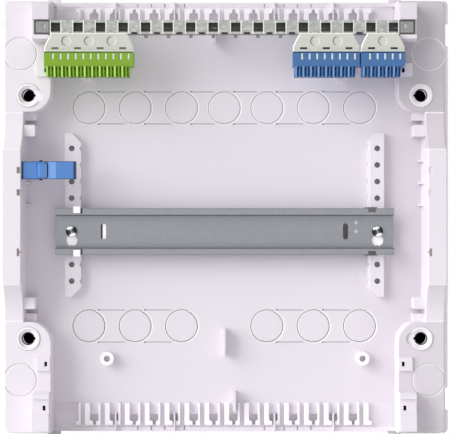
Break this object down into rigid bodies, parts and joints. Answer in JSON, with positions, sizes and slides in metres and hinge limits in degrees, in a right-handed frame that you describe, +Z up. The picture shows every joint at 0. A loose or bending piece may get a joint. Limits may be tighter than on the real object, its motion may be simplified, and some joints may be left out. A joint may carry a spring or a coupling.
{
  "type": "surface distribution box base",
  "caption": "Open base of a shallow wall-mounted distribution box with a top-hat rail, plug-in terminal blocks on a slotted carrier rail, cable combs and a swinging cable clip.",
  "frame": {"origin": "centre of the back of the box, on the wall plane", "axes": "+Z up, +X to the right seen from the front, the open front faces -Y and the wall is towards +Y"},
  "size_m": [0.34, 0.046, 0.3312],
  "materials": {
    "housing_plastic": "fine-grained moulded plastic, pale grey-white",
    "rail_steel": "galvanised steel strip, dull",
    "screw_steel": "bright zinc plate",
    "carrier_steel": "galvanised steel sheet, lightly mottled",
    "green_plastic": "moulded plastic, leaf green",
    "blue_plastic": "moulded plastic, mid blue",
    "label_plastic": "moulded plastic, light warm grey",
    "busbar_brass": "tinned brass bar",
    "spring_steel": "bright spring steel",
    "clip_plastic": "moulded plastic, clear mid blue"
  },
  "bodies": {
    "box": {"rear_housing": "housing_plastic", "din_rail": "rail_steel", "din_rail_screws": "screw_steel", "carrier_rail": "carrier_steel", "earth_terminal_housing": "green_plastic", "earth_terminal_label_carrier": "label_plastic", "earth_terminal_busbar": "busbar_brass", "earth_terminal_springs": "spring_steel", "neutral_terminal_long_housing": "blue_plastic", "neutral_terminal_long_label_carrier": "label_plastic", "neutral_terminal_long_busbar": "busbar_brass", "neutral_terminal_long_springs": "spring_steel", "neutral_terminal_short_housing": "blue_plastic", "neutral_terminal_short_label_carrier": "label_plastic", "neutral_terminal_short_busbar": "busbar_brass", "neutral_terminal_short_springs": "spring_steel", "cable_clip_base": "clip_plastic", "cable_clip_pin": "screw_steel"},
    "clip_arm": {"cable_clip_arm": "clip_plastic"}
  },
  "joints": [
    {"name": "clip_opens", "type": "hinge", "parent": "box", "child": "clip_arm", "pos_m": [-0.137, -0.0335, 0.0348], "axis": [0, 0, -1], "range_deg": [0, 90]}
  ]
}
